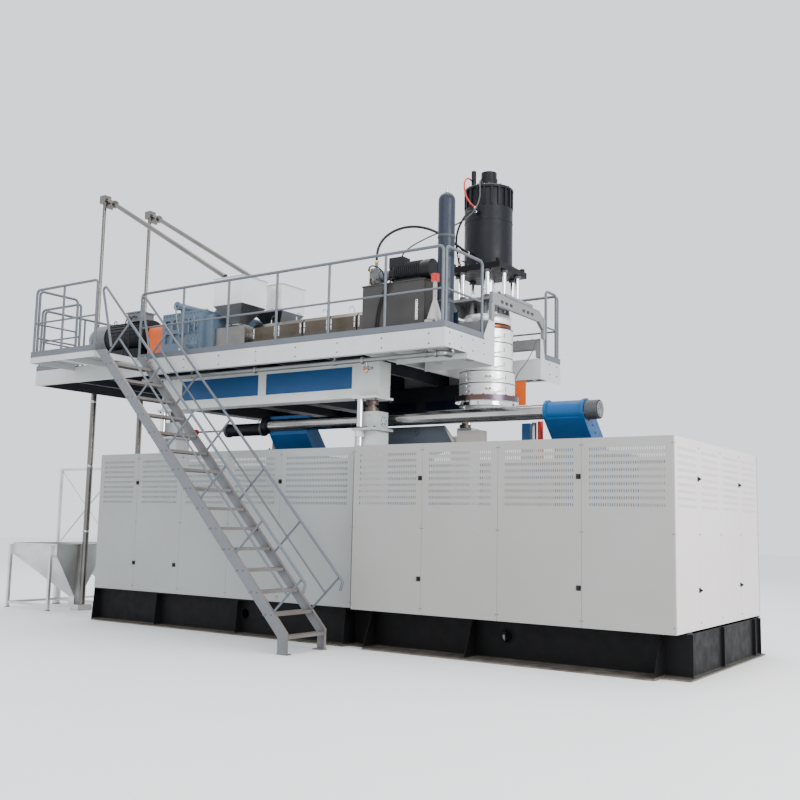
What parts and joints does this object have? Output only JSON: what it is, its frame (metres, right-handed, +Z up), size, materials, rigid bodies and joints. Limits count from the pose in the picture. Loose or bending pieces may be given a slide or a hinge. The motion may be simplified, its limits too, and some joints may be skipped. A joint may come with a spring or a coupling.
{
  "type": "blow moulding machine",
  "caption": "Accumulator-head extrusion blow moulding machine: guarded clamp on a low base, raised extruder platform with stair, and a die head with its push cylinder.",
  "frame": {"origin": "centre of the anchor-bolt rectangle at floor level, under the base", "axes": "+X along the machine from the raw-material end to the mould end, +Y to the back, +Z up"},
  "size_m": [13.053, 4.553, 7.79],
  "materials": {
    "base_black": "satin",
    "rail_steel": "ground",
    "guard_grey": "satin",
    "guard_end": "satin",
    "cover_grey": "satin",
    "latch_black": "matte",
    "column_white": "satin",
    "screw_steel": "turned, oiled",
    "panel_blue": "satin",
    "platform_white": "satin",
    "deck_grey": "chequer plate",
    "rail_grey": "satin",
    "galvanised": "galvanised",
    "motor_black": "satin",
    "gearbox_blue": "satin",
    "stainless": "brushed stainless",
    "polished_cover": "polished stainless",
    "barrel_steel": "nitrided",
    "orange": "satin",
    "die_steel": "ground",
    "heater_silver": "bright sheet",
    "yoke_grey": "satin",
    "cylinder_black": "satin",
    "tank_grey": "satin",
    "slate": "satin",
    "platen_blue": "satin",
    "bar_steel": "ground and oiled",
    "hose_black": "matte",
    "cable_grey": "matte",
    "hose_red": "matte"
  },
  "bodies": {
    "base": {"base_frames": "base_black", "slide_rails": "rail_steel", "guard_frame": "base_black", "enclosure_covers": "cover_grey", "jack_columns": "column_white", "floor_hoppers": "stainless"},
    "platform": {"jack_screws": "screw_steel", "lower_beam_frame": "column_white", "beam_panels": "panel_blue", "platform_frame": "platform_white", "deck_plates": "deck_grey", "guard_rails": "rail_grey", "stair_flight": "rail_grey", "stair_handrails": "rail_grey", "water_pipe": "galvanised", "drive_motors": "motor_black", "gearboxes": "gearbox_blue", "material_hoppers": "stainless", "extruder_barrels": "barrel_steel", "heater_covers": "polished_cover", "orange_guards": "orange", "head_body": "die_steel", "heater_bands": "heater_silver", "head_yoke": "yoke_grey", "head_tie_rods": "yoke_grey", "push_cylinder": "cylinder_black", "oil_tank": "tank_grey", "pump_motor": "tank_grey", "gas_accumulator": "slate", "feed_tubes": "stainless", "pump_hose": "hose_black", "cylinder_hose": "hose_black", "signal_cable": "cable_grey", "red_hose": "hose_red"},
    "clamp_ring": {"right_platen": "platen_blue", "rear_platen": "platen_blue", "tie_bars": "bar_steel", "clamp_cylinder": "cylinder_black"},
    "moving_platen": {"middle_platen": "platen_blue", "clamp_rod": "bar_steel"},
    "plunger": {"push_plunger": "die_steel"},
    "mandrel": {"die_mandrel": "die_steel"},
    "screw_1": {"extruder_screw_1": "barrel_steel"},
    "screw_2": {"extruder_screw_2": "barrel_steel"},
    "front_door_1": {"front_door_1": "guard_grey"},
    "front_door_2": {"front_door_2": "guard_grey"},
    "front_door_3": {"front_door_3": "guard_grey"},
    "front_door_4": {"front_door_4": "guard_grey"},
    "end_door_1": {"end_door_1": "guard_end"},
    "end_door_2": {"end_door_2": "guard_end"},
    "end_door_3": {"end_door_3": "guard_end"},
    "end_door_4": {"end_door_4": "guard_end"},
    "front_latch_1": {"front_latch_1": "latch_black"},
    "front_latch_2": {"front_latch_2": "latch_black"},
    "front_latch_3": {"front_latch_3": "latch_black"},
    "front_latch_4": {"front_latch_4": "latch_black"},
    "end_latch_1": {"end_latch_1": "latch_black"},
    "end_latch_2": {"end_latch_2": "latch_black"},
    "end_latch_3": {"end_latch_3": "latch_black"},
    "end_latch_4": {"end_latch_4": "latch_black"}
  },
  "joints": [
    {"name": "platform_lift", "type": "slide", "parent": "base", "child": "platform", "axis": [0, 0, 1], "range_m": [0, 0.25]},
    {"name": "clamp_ring_slide", "type": "slide", "parent": "base", "child": "clamp_ring", "axis": [-1, 0, 0], "range_m": [0, 0.52]},
    {"name": "middle_platen_slide", "type": "slide", "parent": "base", "child": "moving_platen", "axis": [1, 0, 0], "range_m": [0, 0.52]},
    {"name": "plunger_stroke", "type": "slide", "parent": "platform", "child": "plunger", "axis": [0, 0, 1], "range_m": [0, 0.4]},
    {"name": "mandrel_stroke", "type": "slide", "parent": "platform", "child": "mandrel", "axis": [0, 0, 1], "range_m": [0, 0.03]},
    {"name": "screw_1_turn", "type": "hinge", "parent": "platform", "child": "screw_1", "pos_m": [0, -1.08, 4.6], "axis": [1, 0, 0], "continuous": true},
    {"name": "screw_2_turn", "type": "hinge", "parent": "platform", "child": "screw_2", "pos_m": [0.18, -0.32, 4.6], "axis": [1, 0, 0], "continuous": true},
    {"name": "front_door_1_hinge", "type": "hinge", "parent": "base", "child": "front_door_1", "pos_m": [0.485, -1.8, 0], "axis": [0, 0, 1], "range_deg": [-62, 0]},
    {"name": "front_door_2_hinge", "type": "hinge", "parent": "base", "child": "front_door_2", "pos_m": [2.707, -1.8, 0], "axis": [0, 0, 1], "range_deg": [0, 85]},
    {"name": "front_door_3_hinge", "type": "hinge", "parent": "base", "child": "front_door_3", "pos_m": [2.71, -1.8, 0], "axis": [0, 0, 1], "range_deg": [-85, 0]},
    {"name": "front_door_4_hinge", "type": "hinge", "parent": "base", "child": "front_door_4", "pos_m": [4.932, -1.8, 0], "axis": [0, 0, 1], "range_deg": [0, 85]},
    {"name": "end_door_1_hinge", "type": "hinge", "parent": "base", "child": "end_door_1", "pos_m": [4.935, -1.77, 0], "axis": [0, 0, 1], "range_deg": [-85, 0]},
    {"name": "end_door_2_hinge", "type": "hinge", "parent": "base", "child": "end_door_2", "pos_m": [4.935, -0.068, 0], "axis": [0, 0, 1], "range_deg": [0, 85]},
    {"name": "end_door_3_hinge", "type": "hinge", "parent": "base", "child": "end_door_3", "pos_m": [4.935, -0.065, 0], "axis": [0, 0, 1], "range_deg": [-85, 0]},
    {"name": "end_door_4_hinge", "type": "hinge", "parent": "base", "child": "end_door_4", "pos_m": [4.935, 1.637, 0], "axis": [0, 0, 1], "range_deg": [0, 85]},
    {"name": "front_latch_1_turn", "type": "hinge", "parent": "front_door_1", "child": "front_latch_1", "pos_m": [1.5605, -1.8, 0.974], "axis": [0, 1, 0], "range_deg": [0, 90]},
    {"name": "front_latch_2_turn", "type": "hinge", "parent": "front_door_1", "child": "front_latch_2", "pos_m": [1.5605, -1.8, 2.27], "axis": [0, 1, 0], "range_deg": [0, 90]},
    {"name": "front_latch_3_turn", "type": "hinge", "parent": "front_door_3", "child": "front_latch_3", "pos_m": [3.7855, -1.8, 0.974], "axis": [0, 1, 0], "range_deg": [0, 90]},
    {"name": "front_latch_4_turn", "type": "hinge", "parent": "front_door_3", "child": "front_latch_4", "pos_m": [3.7855, -1.8, 2.27], "axis": [0, 1, 0], "range_deg": [0, 90]},
    {"name": "end_latch_1_turn", "type": "hinge", "parent": "end_door_1", "child": "end_latch_1", "pos_m": [4.935, -0.9545, 0.974], "axis": [-1, 0, 0], "range_deg": [0, 90]},
    {"name": "end_latch_2_turn", "type": "hinge", "parent": "end_door_1", "child": "end_latch_2", "pos_m": [4.935, -0.9545, 2.27], "axis": [-1, 0, 0], "range_deg": [0, 90]},
    {"name": "end_latch_3_turn", "type": "hinge", "parent": "end_door_3", "child": "end_latch_3", "pos_m": [4.935, 0.7505, 0.974], "axis": [-1, 0, 0], "range_deg": [0, 90]},
    {"name": "end_latch_4_turn", "type": "hinge", "parent": "end_door_3", "child": "end_latch_4", "pos_m": [4.935, 0.7505, 2.27], "axis": [-1, 0, 0], "range_deg": [0, 90]}
  ],
  "couplings": [
    {"joint": "middle_platen_slide", "follows": "clamp_ring_slide", "ratio": 1}
  ]
}
